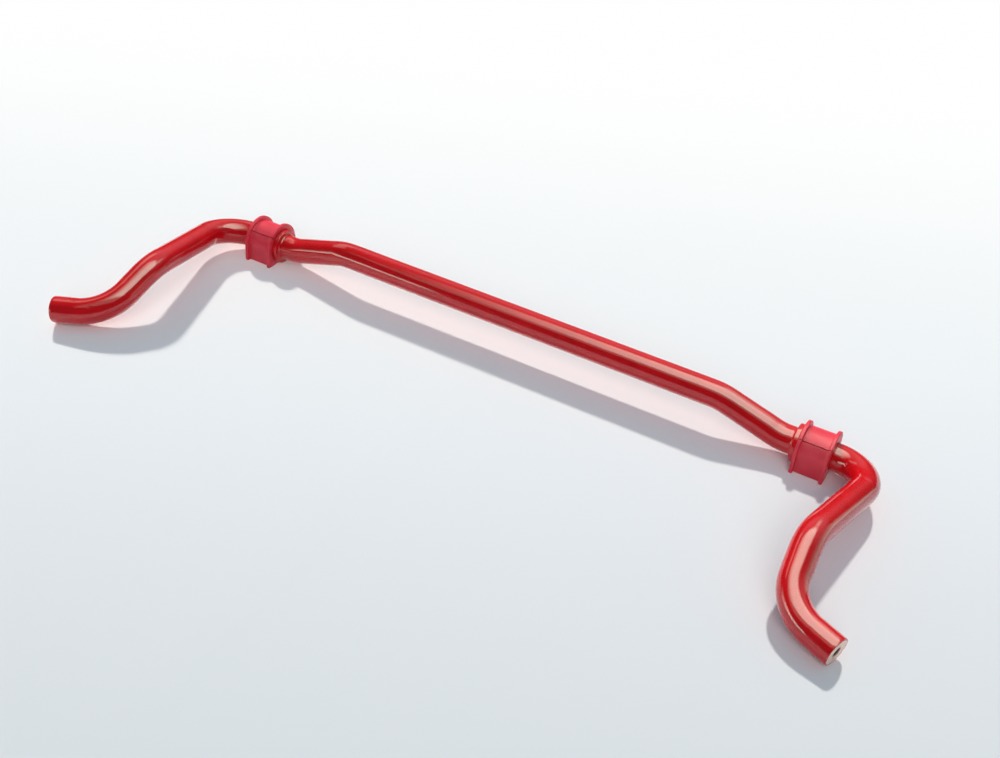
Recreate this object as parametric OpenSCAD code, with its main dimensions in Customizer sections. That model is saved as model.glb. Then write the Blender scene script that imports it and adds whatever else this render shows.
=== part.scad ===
// Tubular sway bar with stop rings, tapped end inserts and split bushings.
// The bar is one bent tube, mirrored about X = 0. X runs across the vehicle, the arms reach along -Y,
// and Z = 0 is the plane that the bushing bases and the two tips rest on.

/* [Tube] */
// Outside diameter of the tube
bar_d = 32; // [28:0.5:34]
// Wall of the tube
bar_wall = 5; // [4:0.5:6.5]
// Radius that the tube loses where it is drawn round a bend
bend_draw = 0.02; // [0.02:0.01:0.1]

/* [Middle] */
// Distance between the middles of the two stop rings
ring_span = 700; // [640:2:800]
// Height of the raised middle over the seats
middle_rise = 22; // [18:0.5:30]
// Length over which the tube comes down from the middle to a seat
kink_run = 74.5; // [62:0.5:90]
// Bend radius where the raised middle starts to come down
kink_top_r = 66; // [50:1:80]
// Bend radius where the tube levels out beside a stop ring
kink_low_r = 59; // [50:1:75]
// Straight tube between the lower kink and the stop ring
kink_gap = 9; // [6:1:20]

/* [Arms] */
// Bend radius of the corner between a seat and an arm
corner_r = 45; // [40:1:50]
// Forward length of an arm from the corner to the crest
arm_reach = 173; // [150:1:220]
// Distance that an arm leans in towards the middle by its crest
arm_tuck = 30; // [20:1:45]
// Height of an arm's crest over the seats
arm_rise = 29.5; // [24:0.5:40]
// Bend radius of the crest
crest_r = 65; // [50:1:75]
// Forward length of the nose from the crest to the tip bend
nose_reach = 76; // [72:1:95]
// Distance that the nose spreads out again by the tip bend
nose_spread = 5; // [0:1:16]
// Bend radius between the nose and the tip
tip_bend_r = 56; // [45:1:58]
// Sideways length of the tip from its bend to the end face
tip_spread = 60.5; // [52:0.5:75]
// Forward length of the tip from its bend to the end face
tip_reach = 21; // [15:1:30]
// Drop of the tip from its bend to the end face
tip_fall = 6; // [2:0.5:10]

/* [Stop rings] */
// Width of a stop ring along the tube
ring_w = 6; // [4:0.5:8]
// Thickness of a stop ring across its strip
ring_t = 6; // [4:0.5:7]
// Bevel on the two outer edges of a stop ring
ring_bevel = 0.8; // [0.4:0.1:1.2]
// Opening left between a stop ring's ends when it is pressed shut
ring_gap = 2; // [1:0.5:4]

/* [End inserts] */
// Length of a threaded insert inside the tube
insert_len = 26; // [22:1:28]
// Core diameter of the thread, M12 x 1.75
thread_core_d = 10.2; // [8.5:0.1:12]
// Depth of the threaded hole
thread_depth = 21; // [16:1:21]
// Countersink and chamfer width on an insert
insert_bevel = 1; // [0.5:0.1:1.5]

/* [Bushings] */
// Length of a bushing along the tube
bushing_len = 38; // [30:1:50]
// Width of a bushing across its flanges
flange_w = 56.4; // [52:0.2:64]
// Thickness of a flange
flange_t = 4; // [3:0.5:6]
// Height of a flange over the bushing's waist
flange_step = 4.5; // [3:0.5:6]
// Running gap round the tube, on the radius
seat_gap = 0.05; // [0.03:0.01:0.1]
// Gap between a bushing and what stops it at either end
end_float = 0.5; // [0.3:0.1:1]
// Clearance of the stop rings over the plane of the bushing bases
ring_clearance = 0.4; // [0.2:0.1:1]
// Number of grease grooves round the bore
groove_count = 10; // [6:1:12]
// Width of a grease groove
groove_w = 2.4; // [1.6:0.2:3]
// Width of the slit that lets a bushing open over the tube
slit_w = 0.8; // [0.4:0.1:1.5]
// Angle of the slit forward from the top of the arch
slit_angle = 45; // [30:5:60]
// Bevel at the mouths of the bushing's bore
bore_bevel = 0.8; // [0.4:0.1:1.2]

/* [Hidden] */
$fn = 64;
paint = "#b01020";
bare_steel = "#d8cfc8";
polyurethane = "#d8324a";

bar_r = bar_d / 2;
bore_r = bar_r - bar_wall;
ring_r = bar_r + ring_t;
flange_r = flange_w / 2;
waist_r = flange_r - flange_step;
seat_bore_r = bar_r + seat_gap;
cut_over = 1;
// How far a straight stretch laps over the drawn bend beside it
lap = 0.4;

// The seat axis runs along X at this height, so that the bushing bases lie on Z = 0.
seat_z = ring_r + ring_clearance;
ring_x = ring_span / 2;
bushing_x = ring_x + ring_w / 2 + end_float;
seat_end_x = bushing_x + bushing_len + end_float;

function unit(v) = v / norm(v);
// Angle between two directions
function turn_between(a, b) = acos(unit(a) * unit(b));
// Length that a bend takes off the straight on either side of its corner point
function trim_for(radius, a, b) = radius * tan(turn_between(a, b) / 2);

// Directions of the stretches on the +X side, each from one corner point of the route to the next.
seat_dir = [1, 0, 0];
kink_dir = [kink_run, 0, -middle_rise];
arm_dir = [-arm_tuck, -arm_reach, arm_rise];
tip_dir = [tip_spread, -tip_reach, -tip_fall];
tip_axis = unit(tip_dir);
// A tip's end face just touches Z = 0 with the lowest point of its rim.
tip_end_z = bar_r * sqrt(1 - pow(tip_axis.z, 2));

// The depth of the whole bar is centred on Y = 0, from the bushing backs to the front of the tips.
tip_forward = arm_reach + nose_reach + tip_reach + bar_r * sqrt(1 - pow(tip_axis.y, 2));
seat_y = (tip_forward - flange_r) / 2;

// Corner points of the route on the +X side, from the raised middle to the end face.
corner_x = seat_end_x + trim_for(corner_r, seat_dir, arm_dir);
kink_low_x = ring_x - ring_w / 2 - kink_gap - trim_for(kink_low_r, kink_dir, seat_dir);
kink_low = [kink_low_x, seat_y, seat_z];
kink_top = kink_low - kink_dir;
corner = [corner_x, seat_y, seat_z];
crest = corner + arm_dir;
tip_end = [crest.x + nose_spread + tip_spread, crest.y - nose_reach - tip_reach, tip_end_z];
tip_bend = tip_end - tip_dir;
half_route = [kink_top, kink_low, corner, crest, tip_bend, tip_end];
half_radii = [kink_top_r, kink_low_r, corner_r, crest_r, tip_bend_r, 0];

function mirrored(p) = [-p.x, p.y, p.z];
last = len(half_route) - 1;
route = concat([for (i = [last:-1:0]) mirrored(half_route[i])], half_route);
radii = concat([for (i = [last:-1:0]) half_radii[i]], half_radii);
route_end = len(route) - 1;

function inner_corner(i) = i > 0 && i < route_end;
function trim_at(i) = inner_corner(i)
    ? trim_for(radii[i], route[i] - route[i - 1], route[i + 1] - route[i]) : 0;

// Straight stretch of the route from corner point i to the next, end_over longer at a free end
module straight(i, r, end_over) {
    along = unit(route[i + 1] - route[i]);
    start = route[i] + along * (inner_corner(i) ? trim_at(i) - lap : -end_over);
    stop = route[i + 1] - along * (inner_corner(i + 1) ? trim_at(i + 1) - lap : -end_over);
    translate(start)
        rotate([0, acos(along.z), atan2(along.y, along.x)])
            cylinder(h = norm(stop - start), r = r);
}

// Bend of the route round corner point i
module bend(i, r) {
    before = unit(route[i] - route[i - 1]);
    after = unit(route[i + 1] - route[i]);
    inward = unit(after - before * (before * after));
    up = cross(-inward, before);
    centre = route[i] - before * trim_at(i) + inward * radii[i];
    multmatrix([
        [-inward.x, before.x, up.x, centre.x],
        [-inward.y, before.y, up.y, centre.y],
        [-inward.z, before.z, up.z, centre.z],
        [0, 0, 0, 1]])
        rotate_extrude(angle = turn_between(before, after), $fn = 96)
            translate([radii[i], 0])
                circle(r - bend_draw);
}

module rod_along_route(r, end_over) {
    for (i = [0:route_end - 1]) straight(i, r, end_over);
    for (i = [1:route_end - 1]) bend(i, r);
}

module bar_tube() {
    color(paint) difference() {
        rod_along_route(bar_r, 0);
        rod_along_route(bore_r, cut_over);
    }
}

// Strip ring pressed shut round the tube, with its opening behind and below
module stop_ring() {
    flat = ring_w / 2 - ring_bevel;
    color(paint)
        translate([ring_x, seat_y, seat_z])
            rotate([0, 90, 0])
                difference() {
                    rotate_extrude()
                        polygon([[bar_r, -ring_w / 2], [ring_r - ring_bevel, -ring_w / 2], [ring_r, -flat],
                            [ring_r, flat], [ring_r - ring_bevel, ring_w / 2], [bar_r, ring_w / 2]]);
                    rotate([0, 0, 45])
                        translate([0, -ring_gap / 2, -ring_w])
                            cube([2 * ring_r, ring_gap, 2 * ring_w]);
                }
}

// Plug in the tube's end, flush with the end face and tapped along the tip
module end_insert() {
    core_r = thread_core_d / 2;
    color(bare_steel)
        translate(tip_end)
            rotate([0, acos(tip_axis.z), atan2(tip_axis.y, tip_axis.x)])
                difference() {
                    translate([0, 0, -insert_len])
                        union() {
                            cylinder(h = insert_bevel, r1 = bore_r - insert_bevel, r2 = bore_r);
                            translate([0, 0, insert_bevel]) cylinder(h = insert_len - insert_bevel, r = bore_r);
                        }
                    translate([0, 0, -thread_depth]) cylinder(h = thread_depth + cut_over, r = core_r);
                    translate([0, 0, -insert_bevel])
                        cylinder(h = insert_bevel + cut_over, r1 = core_r,
                            r2 = core_r + insert_bevel + cut_over);
                }
}

// Arch on straight sides and a flat base, extruded along the tube
module arch_block(r, length) {
    rotate([90, 0, 90])
        linear_extrude(length)
            union() {
                intersection() {
                    circle(r);
                    translate([-r, 0]) square([2 * r, r]);
                }
                translate([-r, -seat_z]) square([2 * r, seat_z]);
            }
}

module bore_mouth(x, outward) {
    translate([x, 0, 0])
        rotate([0, outward * 90, 0])
            translate([0, 0, -bore_bevel])
                cylinder(h = bore_bevel + cut_over, r1 = seat_bore_r,
                    r2 = seat_bore_r + bore_bevel + cut_over);
}

module bushing() {
    color(polyurethane)
        translate([bushing_x, seat_y, seat_z])
            difference() {
                union() {
                    arch_block(waist_r, bushing_len);
                    arch_block(flange_r, flange_t);
                    translate([bushing_len - flange_t, 0, 0]) arch_block(flange_r, flange_t);
                }
                translate([-cut_over, 0, 0])
                    rotate([0, 90, 0])
                        cylinder(h = bushing_len + 2 * cut_over, r = seat_bore_r);
                bore_mouth(0, -1);
                bore_mouth(bushing_len, 1);
                for (i = [0:groove_count - 1])
                    rotate([slit_angle + (i + 0.5) * 360 / groove_count, 0, 0])
                        translate([-cut_over, 0, seat_bore_r])
                            rotate([0, 90, 0])
                                cylinder(h = bushing_len + 2 * cut_over, r = groove_w / 2);
                rotate([slit_angle, 0, 0])
                    translate([-cut_over, -slit_w / 2, 0])
                        cube([bushing_len + 2 * cut_over, slit_w, 2 * flange_r]);
            }
}

bar_tube();
mirror([1, 0, 0]) stop_ring();  // left_stop_ring
stop_ring();  // right_stop_ring
mirror([1, 0, 0]) end_insert();  // left_end_insert
end_insert();  // right_end_insert
mirror([1, 0, 0]) bushing();  // left_bushing
bushing();  // right_bushing
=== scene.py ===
"""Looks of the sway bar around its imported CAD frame: gloss paint, bare tapped ends and satin bushings.

The pieces' lengths are in millimetres, as in the part's source, and become metres as each mesh is made.
Places of the floor, lights and camera are in metres.
"""
import math

import bpy
import numpy as np
from mathutils import Matrix, Vector


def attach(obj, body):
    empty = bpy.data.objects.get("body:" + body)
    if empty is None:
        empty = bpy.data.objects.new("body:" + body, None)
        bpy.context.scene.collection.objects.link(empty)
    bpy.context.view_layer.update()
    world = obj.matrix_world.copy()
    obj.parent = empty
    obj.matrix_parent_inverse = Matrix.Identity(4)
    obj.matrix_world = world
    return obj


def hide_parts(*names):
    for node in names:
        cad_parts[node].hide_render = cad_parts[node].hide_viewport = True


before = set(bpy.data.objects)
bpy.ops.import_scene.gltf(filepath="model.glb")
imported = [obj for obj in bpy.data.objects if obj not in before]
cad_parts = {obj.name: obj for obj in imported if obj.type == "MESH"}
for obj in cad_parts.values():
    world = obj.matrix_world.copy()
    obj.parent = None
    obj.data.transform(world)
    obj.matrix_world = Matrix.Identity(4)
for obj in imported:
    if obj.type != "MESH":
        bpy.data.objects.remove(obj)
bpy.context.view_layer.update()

MM = 0.001
TAU = 2 * math.pi

# ---------------------------------------------------------------- sizes, as in the part's source

BAR_R = 16.0
BORE_R = 11.0
RING_SPAN = 700.0
MIDDLE_RISE = 22.0
KINK_RUN = 74.5
KINK_TOP_R = 66.0
KINK_LOW_R = 59.0
KINK_GAP = 9.0
CORNER_R = 45.0
ARM_REACH = 173.0
ARM_TUCK = 30.0
ARM_RISE = 29.5
CREST_R = 65.0
NOSE_REACH = 76.0
NOSE_SPREAD = 5.0
TIP_BEND_R = 56.0
TIP_SPREAD = 60.5
TIP_REACH = 21.0
TIP_FALL = 6.0
RING_W = 6.0
RING_T = 6.0
RING_GAP = 2.0
INSERT_LEN = 26.0
THREAD_CORE_R = 5.1
THREAD_OUTER_R = 6.0
THREAD_PITCH = 1.75
THREAD_DEPTH = 21.0
INSERT_BEVEL = 1.0
BUSHING_LEN = 38.0
FLANGE_R = 28.2
FLANGE_T = 4.0
FLANGE_STEP = 4.5
SEAT_BORE_R = 16.05
END_FLOAT = 0.5
RING_CLEARANCE = 0.4
GROOVE_COUNT = 10
GROOVE_R = 1.2
SLIT_W = 0.8
SLIT_ANGLE = math.radians(45)
BORE_BEVEL = 0.8

RING_R = BAR_R + RING_T
WAIST_R = FLANGE_R - FLANGE_STEP
SEAT_Z = RING_R + RING_CLEARANCE
RING_X = RING_SPAN / 2
BUSHING_X = RING_X + RING_W / 2 + END_FLOAT
SEAT_END_X = BUSHING_X + BUSHING_LEN + END_FLOAT


def unit(v):
    v = np.asarray(v, float)
    return v / np.linalg.norm(v)


def turn_between(a, b):
    return math.acos(max(-1.0, min(1.0, float(unit(a) @ unit(b)))))


def trim_for(radius, a, b):
    return radius * math.tan(turn_between(a, b) / 2)


SEAT_DIR = (1, 0, 0)
KINK_DIR = np.array([KINK_RUN, 0.0, -MIDDLE_RISE])
ARM_DIR = np.array([-ARM_TUCK, -ARM_REACH, ARM_RISE])
TIP_DIR = np.array([TIP_SPREAD, -TIP_REACH, -TIP_FALL])
TIP_AXIS = unit(TIP_DIR)
TIP_FORWARD = ARM_REACH + NOSE_REACH + TIP_REACH + BAR_R * math.sqrt(1 - TIP_AXIS[1] ** 2)
SEAT_Y = (TIP_FORWARD - FLANGE_R) / 2
TIP_END_Z = BAR_R * math.sqrt(1 - TIP_AXIS[2] ** 2)


def half_route():
    """Corner points and bend radii on the +X side, from the middle of the bar to the end face."""
    corner_x = SEAT_END_X + trim_for(CORNER_R, SEAT_DIR, ARM_DIR)
    kink_low_x = RING_X - RING_W / 2 - KINK_GAP - trim_for(KINK_LOW_R, KINK_DIR, SEAT_DIR)
    kink_low = np.array([kink_low_x, SEAT_Y, SEAT_Z])
    kink_top = kink_low - KINK_DIR
    corner = np.array([corner_x, SEAT_Y, SEAT_Z])
    crest = corner + ARM_DIR
    tip_end = np.array([crest[0] + NOSE_SPREAD + TIP_SPREAD, crest[1] - NOSE_REACH - TIP_REACH, TIP_END_Z])
    middle = np.array([0, kink_top[1], kink_top[2]])
    points = [middle, kink_top, kink_low, corner, crest, tip_end - TIP_DIR, tip_end]
    return points, [0, KINK_TOP_R, KINK_LOW_R, CORNER_R, CREST_R, TIP_BEND_R, 0]


def stations(points, radii, straight_step, bend_step):
    """Centre, direction, distance and bend (a vector to its inside, long as 1 / radius) along a route."""
    out = []
    run = 0.0
    at = points[0]
    for i in range(1, len(points)):
        before = unit(points[i] - points[i - 1])
        last = i == len(points) - 1
        trim = 0.0 if last else trim_for(radii[i], before, points[i + 1] - points[i])
        stop = points[i] - before * trim
        length = float(np.linalg.norm(stop - at))
        steps = max(2, math.ceil(length / straight_step))
        for k in range(steps + 1 if last else steps):
            out.append((at + before * length * k / steps, before, run + length * k / steps, np.zeros(3)))
        run += length
        if last:
            return out
        after = unit(points[i + 1] - points[i])
        inward = unit(after - before * (before @ after))
        turn = turn_between(before, after)
        centre = stop + inward * radii[i]
        steps = math.ceil(radii[i] * turn / bend_step)
        for k in range(steps):
            a = turn * k / steps
            place = centre + (before * math.sin(a) - inward * math.cos(a)) * radii[i]
            along = before * math.cos(a) + inward * math.sin(a)
            pull = inward * math.cos(a) - before * math.sin(a)
            out.append((place, along, run + radii[i] * a, pull / radii[i]))
        run += radii[i] * turn
        at = centre + (before * math.sin(turn) - inward * math.cos(turn)) * radii[i]


def carried_frames(line, first_side):
    """Side and up vectors carried along the line without twist."""
    frames = []
    side = unit(first_side)
    for _, along, _, _ in line:
        side = unit(side - along * (side @ along))
        frames.append((side, np.cross(along, side)))
    return frames


# ---------------------------------------------------------------- mesh helpers

def new_piece(name, verts, faces, materials, face_material=None, smooth_angle=35.0, fields=None):
    """Mesh object from vertices in millimetres, with smooth shading except at edges over the angle."""
    mesh = bpy.data.meshes.new(name)
    mesh.from_pydata([tuple(float(c) * MM for c in v) for v in verts], [], [tuple(f) for f in faces])
    for m in materials:
        mesh.materials.append(m)
    if face_material is not None:
        mesh.polygons.foreach_set("material_index", np.asarray(face_material, np.int32))
    for field, values in (fields or {}).items():
        layer = mesh.attributes.new(field, "FLOAT", "POINT")
        layer.data.foreach_set("value", np.asarray(values, np.float32))
    mesh.validate()
    mesh.shade_smooth()
    mesh.set_sharp_from_angle(angle=math.radians(smooth_angle))
    obj = bpy.data.objects.new(name, mesh)
    bpy.context.scene.collection.objects.link(obj)
    return obj


def grid_faces(rows, cols, first=0, wrap=True, flip=False):
    """Quads over rows x cols vertices numbered row by row; wrap closes each row on itself."""
    faces = []
    for r in range(rows - 1):
        for c in range(cols if wrap else cols - 1):
            n = (c + 1) % cols
            a, b = first + r * cols + c, first + r * cols + n
            d, e = first + (r + 1) * cols + c, first + (r + 1) * cols + n
            faces.append((a, d, e, b) if flip else (a, b, e, d))
    return faces


def ring_strip(a_first, b_first, cols):
    """Quads between two closed rows of vertices."""
    faces = []
    for c in range(cols):
        n = (c + 1) % cols
        faces.append((a_first + c, a_first + n, b_first + n, b_first + c))
    return faces


def quarter_turn(steps):
    """Angles from 0 to a right angle in equal steps, for rounded edges."""
    return [math.pi / 2 * k / steps for k in range(steps + 1)]


# ---------------------------------------------------------------- node helpers

def node_material(name):
    """New material with its node tree and its Principled shader."""
    mat = bpy.data.materials.new(name)
    mat.use_nodes = True
    tree = mat.node_tree
    shader = tree.nodes["Principled BSDF"]
    return mat, tree, shader


def add(tree, kind, **settings):
    """New node; a setting that starts with in_ is the value of the input of that name."""
    node = tree.nodes.new(kind)
    for key, value in settings.items():
        if key.startswith("in_"):
            node.inputs[key[3:].replace("_", " ")].default_value = value
        else:
            setattr(node, key, value)
    return node


def noise(tree, coords, scale, detail=3.0, rough=0.5):
    node = add(tree, "ShaderNodeTexNoise", in_Scale=scale, in_Detail=detail, in_Roughness=rough)
    tree.links.new(coords, node.inputs["Vector"])
    return node.outputs["Fac"]


def ramp(tree, fac, stops):
    """Colour that goes through (place, colour) stops as a value rises."""
    node = add(tree, "ShaderNodeValToRGB")
    elements = node.color_ramp.elements
    while len(elements) < len(stops):
        elements.new(0.5)
    for element, (place, colour) in zip(elements, stops):
        element.position = place
        element.color = (*colour, 1.0)
    tree.links.new(fac, node.inputs["Fac"])
    return node.outputs["Color"]


def grey(value):
    return (value, value, value)


def map_range(tree, value, low, high, kind="SMOOTHSTEP"):
    """0 where the value is low, 1 where it is high, eased between them."""
    node = add(tree, "ShaderNodeMapRange", interpolation_type=kind)
    node.inputs["From Min"].default_value = low
    node.inputs["From Max"].default_value = high
    tree.links.new(value, node.inputs["Value"])
    return node.outputs["Result"]


def split_xyz(tree, vector):
    node = add(tree, "ShaderNodeSeparateXYZ")
    tree.links.new(vector, node.inputs[0])
    return node.outputs


def distance_along(tree, coords, direction):
    """How far a point lies along a direction."""
    node = add(tree, "ShaderNodeVectorMath", operation="DOT_PRODUCT")
    tree.links.new(coords, node.inputs[0])
    node.inputs[1].default_value = direction
    return node.outputs["Value"]


def multiply(tree, value, factor):
    """Product of a value and another value or a plain number."""
    node = add(tree, "ShaderNodeMath", operation="MULTIPLY")
    tree.links.new(value, node.inputs[0])
    if isinstance(factor, float):
        node.inputs[1].default_value = factor
    else:
        tree.links.new(factor, node.inputs[1])
    return node.outputs[0]


def bump(tree, height, strength, distance, normal=None):
    """Normal bent by a height, on top of another bump's normal if one is given."""
    node = add(tree, "ShaderNodeBump", in_Strength=strength, in_Distance=distance)
    tree.links.new(height, node.inputs["Height"])
    if normal is not None:
        tree.links.new(normal, node.inputs["Normal"])
    return node.outputs["Normal"]


# ---------------------------------------------------------------- materials

DEEP_PAINT = (0.620, 0.0022, 0.0060)
BRIGHT_PAINT = (0.700, 0.0040, 0.0095)
# Dark browns of the thread: painted shade for the inside of the tapped hole
PAINTED_SHADE_THREAD_DARK = (0.14, 0.07, 0.05)
PAINTED_SHADE_THREAD_PALE = (0.20, 0.11, 0.08)
DARK_FACE = (0.88, 0.60, 0.48)
PALE_FACE = (0.97, 0.73, 0.60)
DEEP_POLYURETHANE = (0.76, 0.028, 0.056)
BRIGHT_POLYURETHANE = (0.86, 0.042, 0.080)
# Radians of the turned rings' wave to a millimetre of radius
TURNED_RINGS = 9.0


def gloss_paint(name):
    """Red powder coat: even colour with faint clouding, orange peel and a hard glossy skin."""
    mat, tree, shader = node_material(name)
    coords = add(tree, "ShaderNodeTexCoord").outputs["Object"]
    cloud = noise(tree, coords, scale=38.0, detail=3.0, rough=0.55)
    colour = ramp(tree, cloud, [(0.35, DEEP_PAINT), (0.68, BRIGHT_PAINT)])
    tree.links.new(colour, shader.inputs["Base Color"])
    fine = noise(tree, coords, scale=900.0, detail=2.0, rough=0.5)
    tree.links.new(ramp(tree, fine, [(0.3, grey(0.24)), (0.75, grey(0.34))]), shader.inputs["Roughness"])
    peel = noise(tree, coords, scale=260.0, detail=2.0, rough=0.45)
    ripple = noise(tree, coords, scale=55.0, detail=1.0, rough=0.4)
    rippled = bump(tree, ripple, strength=0.14, distance=0.0010)
    tree.links.new(bump(tree, peel, 0.07, 0.0003, rippled), shader.inputs["Normal"])
    shader.inputs["Specular IOR Level"].default_value = 0.1
    shader.inputs["Coat Weight"].default_value = 1.0
    shader.inputs["Coat Roughness"].default_value = 0.05
    shader.inputs["Coat IOR"].default_value = 1.56
    return mat


def turned_steel(name):
    """Bare machined face: fine rings about the hole, warm grey, lightly uneven."""
    mat, tree, shader = node_material(name)
    coords = add(tree, "ShaderNodeTexCoord").outputs["Object"]
    cloud = noise(tree, coords, scale=120.0, detail=3.0, rough=0.5)
    radius = add(tree, "ShaderNodeAttribute", attribute_name="radius").outputs["Fac"]
    # Painted shade: the thread inside the tapped hole is painted dark brown, in place of the shade that fills
    # the hole.
    face = add(tree, "ShaderNodeMix", data_type="RGBA")
    tree.links.new(map_range(tree, radius, THREAD_CORE_R, THREAD_OUTER_R), face.inputs["Factor"])
    tree.links.new(ramp(tree, cloud, [(0.3, PAINTED_SHADE_THREAD_DARK), (0.7, PAINTED_SHADE_THREAD_PALE)]), face.inputs["A"])
    tree.links.new(ramp(tree, cloud, [(0.3, DARK_FACE), (0.7, PALE_FACE)]), face.inputs["B"])
    tree.links.new(face.outputs["Result"], shader.inputs["Base Color"])
    wave = add(tree, "ShaderNodeMath", operation="SINE")
    tree.links.new(multiply(tree, radius, TURNED_RINGS), wave.inputs[0])
    tree.links.new(bump(tree, wave.outputs[0], 0.25, 0.0001), shader.inputs["Normal"])
    rough = noise(tree, coords, scale=400.0, detail=2.0, rough=0.6)
    tree.links.new(ramp(tree, rough, [(0.3, grey(0.32)), (0.7, grey(0.48))]), shader.inputs["Roughness"])
    shader.inputs["Metallic"].default_value = 0.5
    return mat


def cast_polyurethane(name):
    """Satin moulded polyurethane: strong pink red, a little light inside, fine mould grain."""
    mat, tree, shader = node_material(name)
    coords = add(tree, "ShaderNodeTexCoord").outputs["Object"]
    cloud = noise(tree, coords, scale=60.0, detail=4.0, rough=0.55)
    colour = ramp(tree, cloud, [(0.3, DEEP_POLYURETHANE), (0.72, BRIGHT_POLYURETHANE)])
    tree.links.new(colour, shader.inputs["Base Color"])
    grain = noise(tree, coords, scale=1400.0, detail=3.0, rough=0.6)
    flow = noise(tree, coords, scale=90.0, detail=2.0, rough=0.5)
    flowed = bump(tree, flow, strength=0.12, distance=0.0008)
    tree.links.new(bump(tree, grain, 0.18, 0.00012, flowed), shader.inputs["Normal"])
    patches = noise(tree, coords, scale=45.0, detail=3.0, rough=0.5)
    tree.links.new(ramp(tree, patches, [(0.3, grey(0.34)), (0.7, grey(0.46))]), shader.inputs["Roughness"])
    shader.inputs["IOR"].default_value = 1.5
    shader.inputs["Subsurface Weight"].default_value = 0.18
    shader.inputs["Subsurface Scale"].default_value = 0.004
    shader.inputs["Subsurface Radius"].default_value = (1.0, 0.15, 0.1)
    return mat


PAINT = gloss_paint("paint_red_gloss")
RING_PAINT = gloss_paint("ring_paint_red_gloss")
STEEL = turned_steel("bare_turned_steel")
POLY = cast_polyurethane("cast_polyurethane_red")

# ---------------------------------------------------------------- the bent tube

TUBE_SIDES = 120
STRAIGHT_STEP = 4.0
BEND_STEP = 1.6
# Only every third station carries a row of the hidden bore
BORE_STRIDE = 3
END_CHAMFER = 0.5
RIM_ROUND = 0.3
BORE_CHAMFER = 0.25
PAINT_LAP = 1.2
# Radius that a bend gains and loses where it presses oval, times the bend's own radius
OVALITY = 11.0
WAVE_DEPTH = 0.022
SEAT_FROM = RING_X - RING_W / 2 - 4.0
SEAT_TO = SEAT_END_X + 2.0
SEAT_FADE = 12.0
# Small marks that the bending dies leave on the right half (1) and the left half (-1):
# distance along the half, degrees round the tube, length, width and depth
PRESS_MARKS = {
    1: [(423.0, 327, 1.9, 1.5, 0.45), (426.5, 336, 1.2, 2.2, -0.2), (413.0, 25, 2.6, 3.4, 0.25)],
    -1: [(405.0, 345, 2.2, 1.4, 0.4), (687.0, 285, 1.6, 1.2, 0.3)],
}


def seat_mask(x):
    """0 on the seats, where the tube stays true for its bushings and rings, rising to 1 away from them."""
    off = max(SEAT_FROM - x, x - SEAT_TO, 0.0)
    return min(1.0, off / SEAT_FADE)


def skin_radius(station, across, side, angle):
    """Radius of the painted skin: bends press slightly oval, and dies leave soft waves and small marks."""
    place, _, run, pull = station
    mask = seat_mask(place[0])
    curve = float(np.linalg.norm(pull))
    r = BAR_R
    if curve > 0:
        bend_angle = across @ unit(pull)
        r -= OVALITY * curve * (2 * bend_angle ** 2 - 1) * mask
    # Three slow waves whose lengths along the tube share no measure, so that nothing repeats.
    wave = (math.sin(run / 9.3 + 1.3 * math.sin(angle)) * math.cos(angle * 2 + run / 31.0)
            + 0.6 * math.sin(run / 17.9 - angle))
    r += WAVE_DEPTH * mask * wave
    for at, towards, length, width, depth in PRESS_MARKS[side]:
        da = math.remainder(angle - math.radians(towards), TAU) * BAR_R / width
        ds = (run - at) / length
        r -= depth * math.exp(-(da * da + ds * ds))
    return r


def circle_points(station, sides, radius, back=0.0):
    """Points round a station; radius is a number, or a function of the outward direction and its angle."""
    place, along = station[:2]
    across, up = sides
    ring = []
    for k in range(TUBE_SIDES):
        a = TAU * k / TUBE_SIDES
        out = across * math.cos(a) + up * math.sin(a)
        ring.append(place - along * back + out * (radius(out, a) if callable(radius) else radius))
    return ring


def half_tube_rows(side):
    """Rows of one half: skin from the middle to the end face, the face, and the bore back to the middle."""
    points, radii = half_route()
    line = stations(points, radii, STRAIGHT_STEP, BEND_STEP)
    frames = carried_frames(line, (0, -1, 0))
    rows = [circle_points(station, sides, lambda out, a, at=station: skin_radius(at, out, side, a))
            for station, sides in zip(line[:-1], frames)]
    # Paint rounds the rim and laps a little way over the bare face.
    end = (line[-1], frames[-1])
    rows.append(circle_points(*end, BAR_R, END_CHAMFER))
    rows.append(circle_points(*end, BAR_R - END_CHAMFER * RIM_ROUND, END_CHAMFER * RIM_ROUND))
    rows.append(circle_points(*end, BAR_R - END_CHAMFER))
    rows.append(circle_points(*end, BAR_R - END_CHAMFER - PAINT_LAP))
    painted = len(rows)
    rows.append(circle_points(*end, BORE_R + BORE_CHAMFER))
    rows.append(circle_points(*end, BORE_R, BORE_CHAMFER))
    for i in [*range(len(line) - 1 - BORE_STRIDE, 0, -BORE_STRIDE), 0]:
        rows.append(circle_points(line[i], frames[i], BORE_R))
    flip = np.array([side, 1, 1])
    return [[p * flip for p in row] for row in rows], painted


def tube_mesh():
    """Whole painted tube with its bare end faces and the bore behind them, one closed skin."""
    left, painted = half_tube_rows(-1)
    right, _ = half_tube_rows(1)
    # One closed chain: left bore, left face, left skin, right skin, right face, right bore. The middle rows
    # of skin and bore belong to both halves, so each comes once.
    chain = left[:0:-1] + right[:-1]
    verts = [v for row in chain for v in row]
    faces = grid_faces(len(chain), TUBE_SIDES) + ring_strip((len(chain) - 1) * TUBE_SIDES, 0, TUBE_SIDES)
    middle = len(left) - 1
    bare = [0 if abs(f // TUBE_SIDES + 0.5 - middle) < painted - 1 else 1 for f in range(len(faces))]
    tips = {side: half_route()[0][-1] * np.array([side, 1, 1]) for side in (-1, 1)}
    radius = []
    for v in verts:
        side = 1 if v[0] > 0 else -1
        radius.append(float(np.linalg.norm(np.cross(v - tips[side], TIP_AXIS * np.array([side, 1, 1])))))
    return verts, faces, bare, radius


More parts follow.
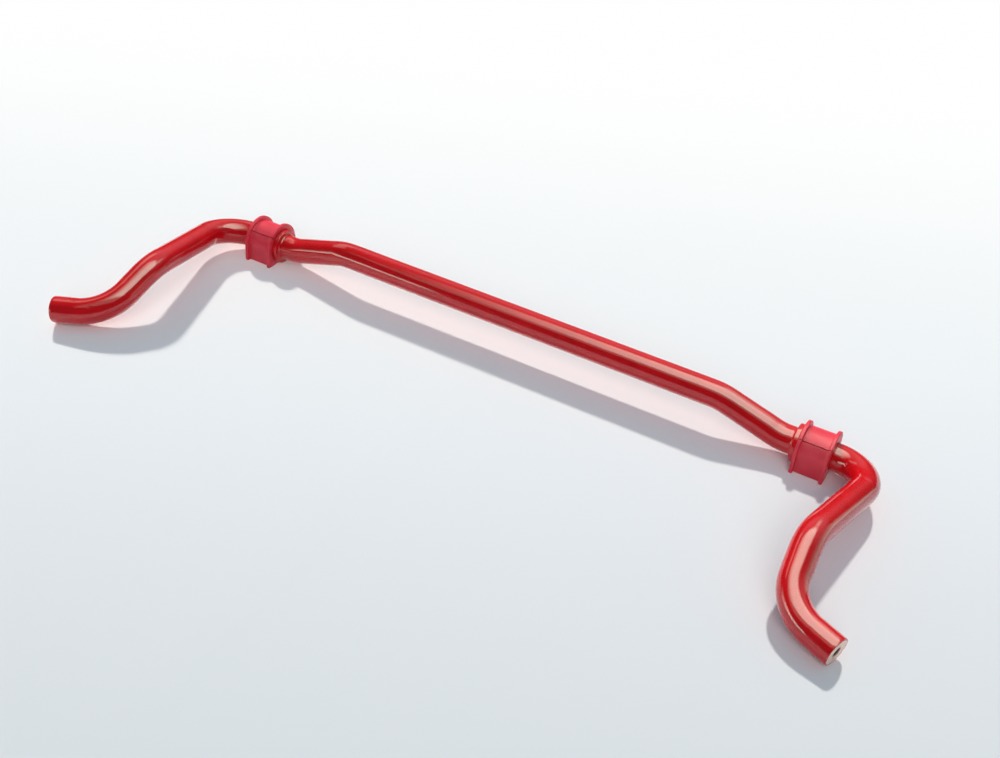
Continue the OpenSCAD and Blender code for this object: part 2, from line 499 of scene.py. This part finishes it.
verts, faces, bare, radius = tube_mesh()
tube = new_piece("bent_tube", verts, faces, [PAINT, STEEL], bare, 40.0, {"radius": radius})
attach(tube, "bar")
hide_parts("bar_tube")

# ---------------------------------------------------------------- stop rings

RING_STEPS = 150
RING_ROUND = 1.1
INNER_FILLET = 2.4
OUTER_FILLET = 0.4
RING_SINK = 0.15
# The opening lies behind and below; paint has built up on its two cut ends and rounds them
RING_GAP_AT = math.radians(-45)
CUT_ROUND = 0.9
CUT_ROUND_RUN = 1.4


def ring_profile():
    """Section of a stop ring from its inboard foot to its outboard one: (offset along the tube, radius)."""
    half = RING_W / 2
    pts = []
    for a in quarter_turn(6):
        pts.append((-half - INNER_FILLET * (1 - math.sin(a)), BAR_R + INNER_FILLET * (1 - math.cos(a))))
    for a in quarter_turn(5):
        pts.append((-half + RING_ROUND * (1 - math.cos(a)), RING_R - RING_ROUND * (1 - math.sin(a))))
    for a in quarter_turn(5):
        pts.append((half - RING_ROUND * (1 - math.sin(a)), RING_R - RING_ROUND * (1 - math.cos(a))))
    for a in quarter_turn(4):
        pts.append((half + OUTER_FILLET * (1 - math.cos(a)), BAR_R + OUTER_FILLET * (1 - math.sin(a))))
    foot = BAR_R - RING_SINK
    return [(pts[0][0], foot)] + pts + [(pts[-1][0], foot)]


def stop_ring(name, side, node):
    """Painted strip ring, with the small opening that is left between its pressed ends."""
    profile = ring_profile()
    half_gap = RING_GAP / 2 / BAR_R
    verts = []
    for n in range(RING_STEPS + 1):
        t = n / RING_STEPS
        a = RING_GAP_AT + half_gap + (TAU - 2 * half_gap) * t
        edge = min(t, 1 - t) * TAU * RING_R
        round_off = CUT_ROUND * max(0.0, 1 - edge / CUT_ROUND_RUN) ** 2
        for x, r in profile:
            lift = (r - BAR_R) / RING_T
            rr = r - round_off * max(0.0, lift)
            verts.append(((RING_X + x) * side, SEAT_Y + rr * math.cos(a), SEAT_Z + rr * math.sin(a)))
    cols = len(profile)
    faces = grid_faces(RING_STEPS + 1, cols, flip=side > 0)
    first = list(range(cols))
    last = [RING_STEPS * cols + c for c in range(cols)]
    faces.append(first if side > 0 else first[::-1])
    faces.append(last[::-1] if side > 0 else last)
    ring = new_piece(name, verts, faces, [RING_PAINT], None, 50.0)
    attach(ring, "bar")
    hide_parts(node)
    return ring


left_ring = stop_ring("left_ring", -1, "left_stop_ring")
right_ring = stop_ring("right_ring", 1, "right_stop_ring")

# ---------------------------------------------------------------- tapped end inserts

THREAD_SIDES = 72
THREAD_STEPS = 14
THREAD_CREST = 0.14
THREAD_ROOT = 0.20
THREAD_RUNOUT = 1.0
DRILL_POINT = 3.0


def thread_radius(depth, angle, hand):
    """Radius of the tapped hole at a depth: a 60 degree thread with flat crests and roots."""
    turn = (depth / THREAD_PITCH + hand * angle / TAU) % 1.0
    across = abs(turn - 0.5) * 2
    rise = (across - THREAD_CREST) / (1 - THREAD_CREST - THREAD_ROOT)
    r = THREAD_CORE_R + (THREAD_OUTER_R - THREAD_CORE_R) * min(1.0, max(0.0, rise))
    fade = min(1.0, max(0.0, (THREAD_DEPTH - THREAD_RUNOUT - depth) / THREAD_PITCH))
    r = THREAD_CORE_R + (r - THREAD_CORE_R) * fade
    return max(r, THREAD_CORE_R + INSERT_BEVEL - depth)


def end_insert(name, side, node):
    """Turned plug, flush with the end face, with its countersunk tapped hole."""
    points, _ = half_route()
    flip = np.array([side, 1, 1])
    tip = points[-1]
    across = unit(np.cross(TIP_AXIS, (0, 0, 1)))
    up = np.cross(across, TIP_AXIS)
    rows, radius = [], []

    def row(depth, radii):
        ring = []
        for k in range(THREAD_SIDES):
            a = TAU * k / THREAD_SIDES
            r = radii(a) if callable(radii) else radii
            ring.append((tip - TIP_AXIS * depth + (across * math.cos(a) + up * math.sin(a)) * r) * flip)
            # Below the bevel the whole thread is stored at the core radius, so that the painted shade covers
            # all of it
            radius.append(r if depth < INSERT_BEVEL else THREAD_CORE_R)
        rows.append(ring)

    row(INSERT_LEN, BORE_R - INSERT_BEVEL)
    row(INSERT_LEN - INSERT_BEVEL, BORE_R)
    row(BORE_CHAMFER, BORE_R)
    row(0.0, BORE_R - BORE_CHAMFER)
    row(0.0, (BORE_R + THREAD_CORE_R) / 2 + INSERT_BEVEL)
    row(0.0, THREAD_CORE_R + INSERT_BEVEL)
    for n in range(1, int(THREAD_DEPTH / THREAD_PITCH * THREAD_STEPS)):
        depth = n * THREAD_PITCH / THREAD_STEPS
        row(depth, lambda a, depth=depth: thread_radius(depth, a, side))
    row(THREAD_DEPTH, THREAD_CORE_R)
    verts = [v for ring in rows for v in ring]
    faces = grid_faces(len(rows), THREAD_SIDES, flip=side > 0)
    back, drill = len(verts), len(verts) + 1
    verts += [(tip - TIP_AXIS * INSERT_LEN) * flip, (tip - TIP_AXIS * (THREAD_DEPTH + DRILL_POINT)) * flip]
    radius += [0.0, 0.0]
    foot = (len(rows) - 1) * THREAD_SIDES
    for k in range(THREAD_SIDES):
        n = (k + 1) % THREAD_SIDES
        a, b = (back, n, k), (drill, foot + k, foot + n)
        faces += [a[::-1], b[::-1]] if side > 0 else [a, b]
    insert = new_piece(name, verts, faces, [STEEL], None, 40.0, {"radius": radius})
    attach(insert, "bar")
    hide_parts(node)
    return insert


left_insert = end_insert("left_insert", -1, "left_end_insert")
right_insert = end_insert("right_insert", 1, "right_end_insert")

# ---------------------------------------------------------------- split bushings

BUSH_STEPS = 420
WAIST_STEPS = 6
EDGE_ROUND = 0.7
STEP_ROUND = 0.9
WALL_DRAFT = 0.05
BASE_ROUND = 1.2
# Share of a rounding that comes off the base's corners, and off the base at a flange's edge
CORNER_CUT = 0.42
BASE_CUT = 0.6
# Step from the end of the bore's bevel to the plain bore
BEVEL_STEP = 0.1


def arch_reach(angle, r, base):
    """Distance from the bore's middle to the arch outline in a direction; angle 0 is +Y, a quarter is up."""
    c, s = math.cos(angle), math.sin(angle)
    if s >= 0:
        return r
    wall = r / max(abs(c), 1e-9)
    floor = base / max(-s, 1e-9)
    return min(wall, floor)


def soft_arch(angle, r, base):
    """The outline with its two base corners rounded a little."""
    sharp = arch_reach(angle, r, base)
    corner = math.hypot(r, base)
    for sign in (1, -1):
        at = math.atan2(-base, sign * r)
        off = abs(math.remainder(angle - at, TAU)) * corner
        if off < 2 * BASE_ROUND:
            sharp -= CORNER_CUT * BASE_ROUND * (1 - off / (2 * BASE_ROUND)) ** 2
    return sharp


def groove_reach(angle, widen):
    """Radius of the bore in a direction, with its grease grooves; widen opens it at the mouths."""
    pitch = TAU / GROOVE_COUNT
    centre = math.pi / 2 + SLIT_ANGLE + pitch / 2
    off = math.remainder(angle - centre, pitch)
    reach = SEAT_BORE_R + widen
    under = GROOVE_R ** 2 - (SEAT_BORE_R * math.sin(off)) ** 2
    if under > 0:
        reach = max(reach, SEAT_BORE_R * math.cos(off) + math.sqrt(under))
    return reach


def bushing_sections():
    """(distance along, arch radius, base depth, bore widening) of each station, with rounded edges."""
    near = []
    for a in quarter_turn(4):
        back = EDGE_ROUND * (1 - math.sin(a))
        cut = EDGE_ROUND * (1 - math.cos(a))
        near.append((cut, FLANGE_R - back, SEAT_Z - back * BASE_CUT, max(0.0, BORE_BEVEL - cut)))
    near.append((BORE_BEVEL + BEVEL_STEP, FLANGE_R, SEAT_Z, 0.0))
    for a in quarter_turn(4):
        x = FLANGE_T - EDGE_ROUND * (1 - math.sin(a))
        near.append((x, FLANGE_R - EDGE_ROUND * (1 - math.cos(a)), SEAT_Z, 0.0))
    for a in quarter_turn(4):
        x = FLANGE_T + WALL_DRAFT + STEP_ROUND * (1 - math.cos(a))
        near.append((x, WAIST_R + STEP_ROUND * (1 - math.sin(a)), SEAT_Z, 0.0))
    first = near[-1][0]
    stop = BUSHING_LEN - first
    waist = [(first + (stop - first) * k / WAIST_STEPS, WAIST_R, SEAT_Z, 0.0) for k in range(1, WAIST_STEPS)]
    far = [(BUSHING_LEN - x, r, base, widen) for x, r, base, widen in reversed(near)]
    return near + waist + far


def bushing(name, side, node, body):
    """Split D-shaped bushing round the seat, lofted along it between its outer arch and grooved bore."""
    slit_at = math.pi / 2 + SLIT_ANGLE
    sections = bushing_sections()
    cols = BUSH_STEPS + 1
    verts = []
    for outer in (True, False):
        for x, r, base, widen in sections:
            half_slit = math.asin(SLIT_W / 2 / (r if outer else SEAT_BORE_R))
            for k in range(cols):
                a = slit_at + half_slit + (TAU - 2 * half_slit) * k / BUSH_STEPS
                reach = soft_arch(a, r, base) if outer else groove_reach(a, widen)
                y = SEAT_Y + reach * math.cos(a)
                z = SEAT_Z + reach * math.sin(a)
                verts.append(((BUSHING_X + x) * side, y, z))
    rows = len(sections)
    inner = rows * cols
    faces = grid_faces(rows, cols, wrap=False) + grid_faces(rows, cols, inner, wrap=False, flip=True)
    last = (rows - 1) * cols
    for k in range(BUSH_STEPS):
        faces.append((k + 1, k, inner + k, inner + k + 1))
        faces.append((last + k, last + k + 1, inner + last + k + 1, inner + last + k))
    for r in range(rows - 1):
        a, b = r * cols, (r + 1) * cols
        faces.append((a, b, inner + b, inner + a))
        e, f = a + BUSH_STEPS, b + BUSH_STEPS
        faces.append((f, e, inner + e, inner + f))
    if side < 0:
        faces = [f[::-1] for f in faces]
    bush = new_piece(name, verts, faces, [POLY], None, 32.0)
    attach(bush, body)
    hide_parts(node)
    return bush


left_bush = bushing("left_split_bushing", -1, "left_bushing", "left_bushing")
right_bush = bushing("right_split_bushing", 1, "right_bushing", "right_bushing")

# ---------------------------------------------------------------- floor, light and camera

FLOOR_SIZE = 40.0
# Along the floor away from the camera; tones and places are given along it
BACKWARD = (-0.441, 0.897, 0.0)
# Painted shade: the floor's colour darkens and cools towards the front, standing in for the light falling off
# there
FLOOR_PAINTED_SHADE_TONES = ((-0.9, (0.66, 0.68, 0.71)), (-0.5, (0.715, 0.735, 0.757)), (-0.25, (0.78, 0.795, 0.816)),
               (-0.05, (0.84, 0.853, 0.874)), (0.15, (0.895, 0.90, 0.905)), (0.6, (0.93, 0.93, 0.93)))
# The far floor turns white between these places, by this much at most
FAR_FLOOR = (0.1, 1.0)
FAR_WHITE = 0.95
WORLD_LIGHT = (0.22, 0.30, 0.36, 1)
WORLD_SEEN = (0.97, 0.975, 0.98, 1)
WORLD_GLOSS = [(0.0, grey(0.015)), (0.5, grey(0.10)), (1.0, (0.64, 0.66, 0.70))]


def floor_material():
    """Pale sheet with painted shade, darker and cooler in front; far behind, what looks at it or mirrors it
    meets plain white.
    """
    mat, tree, shader = node_material("pale_floor")
    back = distance_along(tree, add(tree, "ShaderNodeTexCoord").outputs["Object"], BACKWARD)
    first, last = FLOOR_PAINTED_SHADE_TONES[0][0], FLOOR_PAINTED_SHADE_TONES[-1][0]
    stops = [((at - first) / (last - first), tone) for at, tone in FLOOR_PAINTED_SHADE_TONES]
    colour = ramp(tree, map_range(tree, back, first, last, "LINEAR"), stops)
    tree.links.new(colour, shader.inputs["Base Color"])
    shader.inputs["Roughness"].default_value = 0.9
    shader.inputs["Specular IOR Level"].default_value = 0.0
    path = add(tree, "ShaderNodeLightPath").outputs
    far = multiply(tree, map_range(tree, back, FAR_FLOOR[0], FAR_FLOOR[1]), FAR_WHITE)
    seen = add(tree, "ShaderNodeMath", operation="ADD", use_clamp=True)
    both = add(tree, "ShaderNodeMath", operation="ADD", use_clamp=True)
    tree.links.new(path["Is Glossy Ray"], both.inputs[0])
    tree.links.new(path["Is Transmission Ray"], both.inputs[1])
    tree.links.new(path["Is Camera Ray"], seen.inputs[0])
    tree.links.new(both.outputs[0], seen.inputs[1])
    white = add(tree, "ShaderNodeEmission")
    mix = add(tree, "ShaderNodeMixShader")
    tree.links.new(multiply(tree, far, seen.outputs[0]), mix.inputs["Fac"])
    tree.links.new(shader.outputs[0], mix.inputs[1])
    tree.links.new(white.outputs[0], mix.inputs[2])
    tree.links.new(mix.outputs[0], tree.nodes["Material Output"].inputs["Surface"])
    return mat


def plain_floor(name, x_range, material):
    """One side of the floor; the halves meet at X = 0 and differ only in the key light they take."""
    mesh = bpy.data.meshes.new(name)
    x0, x1 = x_range
    h = FLOOR_SIZE / 2
    mesh.from_pydata([(x0, -h, 0), (x1, -h, 0), (x1, h, 0), (x0, h, 0)], [], [(0, 1, 2, 3)])
    mesh.materials.append(material)
    floor = bpy.data.objects.new(name, mesh)
    bpy.context.scene.collection.objects.link(floor)
    return floor


def pale_world():
    """Pale all round for the camera; in light and gloss, dim at the front and brighter behind."""
    world = bpy.data.worlds.new("studio")
    bpy.context.scene.world = world
    world.use_nodes = True
    tree = world.node_tree
    background = tree.nodes["Background"]
    path = add(tree, "ShaderNodeLightPath")
    direction = split_xyz(tree, add(tree, "ShaderNodeTexCoord").outputs["Generated"])
    behind = map_range(tree, direction["Y"], -0.5, 0.9)
    above = map_range(tree, direction["Z"], 0.05, 0.6)
    gloss = ramp(tree, multiply(tree, behind, above), WORLD_GLOSS)
    seen = add(tree, "ShaderNodeMix", data_type="RGBA")
    tree.links.new(path.outputs["Is Diffuse Ray"], seen.inputs["Factor"])
    tree.links.new(gloss, seen.inputs["A"])
    seen.inputs["B"].default_value = WORLD_LIGHT
    mix = add(tree, "ShaderNodeMix", data_type="RGBA")
    tree.links.new(path.outputs["Is Camera Ray"], mix.inputs["Factor"])
    tree.links.new(seen.outputs["Result"], mix.inputs["A"])
    mix.inputs["B"].default_value = WORLD_SEEN
    tree.links.new(mix.outputs["Result"], background.inputs["Color"])
    background.inputs["Strength"].default_value = 1.0


def lamp(name, kind, place, aim, energy, colour, **settings):
    data = bpy.data.lights.new(name, kind)
    data.energy = energy
    data.color = colour
    for key, value in settings.items():
        setattr(data, key, value)
    obj = bpy.data.objects.new(name, data)
    obj.location = place
    obj.rotation_euler = (Vector(aim) - Vector(place)).to_track_quat("-Z", "Y").to_euler()
    bpy.context.scene.collection.objects.link(obj)
    return obj


def card(name, plane, u_range, v_range, strength, soft, cut=None):
    """Card that only gloss sees, adding its glow to what lies behind it and fading in over soft at its edges.

    Its plane is ("z", height), with u along X and v along Y, or ("x", place), with u along Y and v along Z.
    A cut (direction, from, to) fades it in along that direction too, which takes off a corner.
    """
    u0, u1 = u_range
    v0, v1 = v_range
    corners = [(u0, v0), (u0, v1), (u1, v1), (u1, v0)]
    level = plane[1]
    points = [(u, v, level) if plane[0] == "z" else (level, u, v) for u, v in corners]
    mesh = bpy.data.meshes.new(name)
    mesh.from_pydata(points, [], [(0, 1, 2, 3)])
    obj = bpy.data.objects.new(name, mesh)
    bpy.context.scene.collection.objects.link(obj)
    mat = bpy.data.materials.new(name)
    mat.use_nodes = True
    tree = mat.node_tree
    tree.nodes.clear()
    coords = add(tree, "ShaderNodeTexCoord").outputs["Object"]
    place = split_xyz(tree, coords)
    u, v = (place["X"], place["Y"]) if plane[0] == "z" else (place["Y"], place["Z"])
    fade = multiply(tree, map_range(tree, u, u0, u0 + soft[0]), map_range(tree, u, u1, u1 - soft[1]))
    fade = multiply(tree, fade, map_range(tree, v, v0, v0 + soft[2]))
    fade = multiply(tree, fade, map_range(tree, v, v1, v1 - soft[3]))
    if cut:
        fade = multiply(tree, fade, map_range(tree, distance_along(tree, coords, cut[0]), cut[1], cut[2]))
    glow = add(tree, "ShaderNodeEmission")
    glow.inputs["Color"].default_value = (*CARD_TINT, 1)
    tree.links.new(multiply(tree, fade, float(strength)), glow.inputs["Strength"])
    both = add(tree, "ShaderNodeAddShader")
    tree.links.new(glow.outputs[0], both.inputs[0])
    tree.links.new(add(tree, "ShaderNodeBsdfTransparent").outputs[0], both.inputs[1])
    output = add(tree, "ShaderNodeOutputMaterial")
    tree.links.new(both.outputs[0], output.inputs["Surface"])
    mesh.materials.append(mat)
    obj.visible_camera = obj.visible_diffuse = obj.visible_shadow = False
    obj.visible_transmission = obj.visible_volume_scatter = False
    return obj


def shine_on(light, receivers):
    """Let a lamp light some objects only; every object still casts its shadow. Gloss doesn't see the lamp."""
    light.visible_glossy = False
    group = bpy.data.collections.new(light.name + "_receivers")
    for obj in receivers:
        group.objects.link(obj)
    light.light_linking.receiver_collection = group


def sun(name, towards, energy, colour, spread):
    return lamp(name, "SUN", -Vector(towards), (0, 0, 0), energy, colour, angle=math.radians(spread))


KEY_COLOUR = (1.0, 0.97, 0.90)
KEY_SPREAD = 4
FILL_COLOUR = (1.0, 0.90, 0.85)
FILL_SPREAD = 40
OVERHEAD_PLACE = (-0.1, 0.2, 1.5)
OVERHEAD_AIM = (-0.1, 0.2, 0.0)
CARD_TINT = (0.74, 1.0, 0.85)
CARDS_UP = ("z", 1.25)

pieces = [tube, left_ring, right_ring, left_insert, right_insert, left_bush, right_bush]
floor_paint = floor_material()
left_floor = plain_floor("left_floor", (-FLOOR_SIZE / 2, 0.0), floor_paint)
right_floor = plain_floor("right_floor", (0.0, FLOOR_SIZE / 2), floor_paint)
pale_world()
# The bar's shadow swings round from its left half to its right one, so each side has a key light of its own.
shine_on(sun("key_bar", (0.65, -0.9, -1.0), 2.65, KEY_COLOUR, KEY_SPREAD), pieces)
shine_on(sun("key_left", (1.1, -0.9, -1.0), 2.75, KEY_COLOUR, KEY_SPREAD), [left_floor])
shine_on(sun("key_right", (0.22, -0.9, -1.0), 2.155, KEY_COLOUR, KEY_SPREAD), [right_floor])
shine_on(sun("fill_front", (-0.5, 1.0, -0.85), 1.25, FILL_COLOUR, FILL_SPREAD), [left_floor, right_floor])
overhead = lamp("overhead", "AREA", OVERHEAD_PLACE, OVERHEAD_AIM, 13.0, FILL_COLOUR,
                shape="SQUARE", size=2.6)
shine_on(overhead, pieces)
card("card_main", CARDS_UP, (-0.9, 1.0), (-0.72, 1.0), 6.6,
     soft=(1.0, 0.35, 0.30, 0.40), cut=((0.55, -0.84, 0), -0.78, -0.48))
card("card_front", CARDS_UP, (-1.05, 1.0), (-1.25, -0.25), 1.1, soft=(0.2, 0.3, 0.35, 0.15))
card("card_back", CARDS_UP, (0.2, 0.85), (0.5, 1.9), 2.5, soft=(0.2, 0.2, 0.3, 0.8))
card("card_left", CARDS_UP, (-1.9, -1.0), (-0.05, 1.3), 1.4, soft=(0.2, 0.12, 0.1, 0.2))
card("card_low_right", ("x", 0.95), (0.05, 0.75), (0.0, 0.5), 1.4, soft=(0.1, 0.15, 0.01, 0.4))
card("card_low_left", ("x", -1.9), (-3.9, 0.1), (0.0, 0.8), 6.2, soft=(0.5, 1.5, 0.01, 0.5))

CAMERA_PLACE = (0.54486, -1.02264, 0.88252)
CAMERA_FORWARD = Vector((-0.35665, 0.72581, -0.58840))
CAMERA_RIGHT = Vector((0.86767, 0.49079, 0.07926))
CAMERA_UP = Vector((-0.34624, 0.48221, 0.80470))
CAMERA_LENS = 46.101

camera = bpy.data.cameras.new("camera")
camera.sensor_width = 36.0
camera.lens = CAMERA_LENS
camera_obj = bpy.data.objects.new("camera", camera)
turn = Matrix((CAMERA_RIGHT, CAMERA_UP, -CAMERA_FORWARD)).transposed().to_4x4()
camera_obj.matrix_world = Matrix.Translation(CAMERA_PLACE) @ turn
bpy.context.scene.collection.objects.link(camera_obj)
bpy.context.scene.camera = camera_obj
bpy.context.scene.view_settings.view_transform = "Standard"
